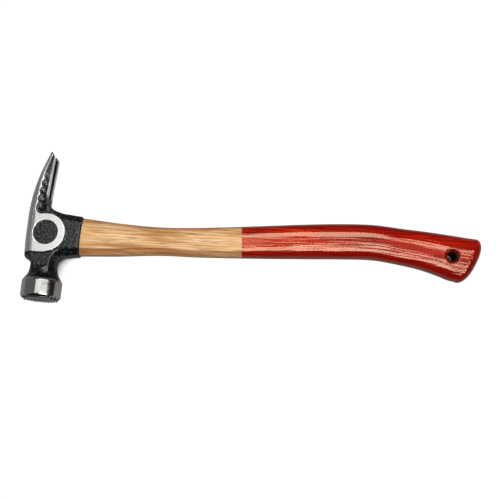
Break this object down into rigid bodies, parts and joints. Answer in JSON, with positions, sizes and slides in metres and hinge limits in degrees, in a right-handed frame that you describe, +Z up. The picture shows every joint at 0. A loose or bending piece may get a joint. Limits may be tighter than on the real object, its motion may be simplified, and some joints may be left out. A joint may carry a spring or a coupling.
{
  "type": "framing hammer",
  "caption": "Framing hammer with a forged steel head, milled round poll, straight split claw and a curved wooden handle wedged into the eye, for driving and pulling nails.",
  "frame": {"origin": "on the surface that the hammer lies on, under the middle of its box", "axes": "+X along the handle from the head to the butt, +Y from the striking face to the claw, +Z up from the cheek that the hammer lies on to the other one"},
  "size_m": [0.4434, 0.1462, 0.038],
  "materials": {
    "head_steel": "black forged coat with ground cheeks, claw strip and poll",
    "handle_wood": "clear lacquer on bare wood at the head, red gloss lacquer on the grip",
    "wedge_wood": "raw wood",
    "wedge_steel": "plain steel"
  },
  "bodies": {
    "root": {"head": "head_steel", "handle": "handle_wood", "wood_wedge": "wedge_wood", "steel_wedge_face_side": "wedge_steel", "steel_wedge_claw_side": "wedge_steel"}
  },
  "joints": []
}
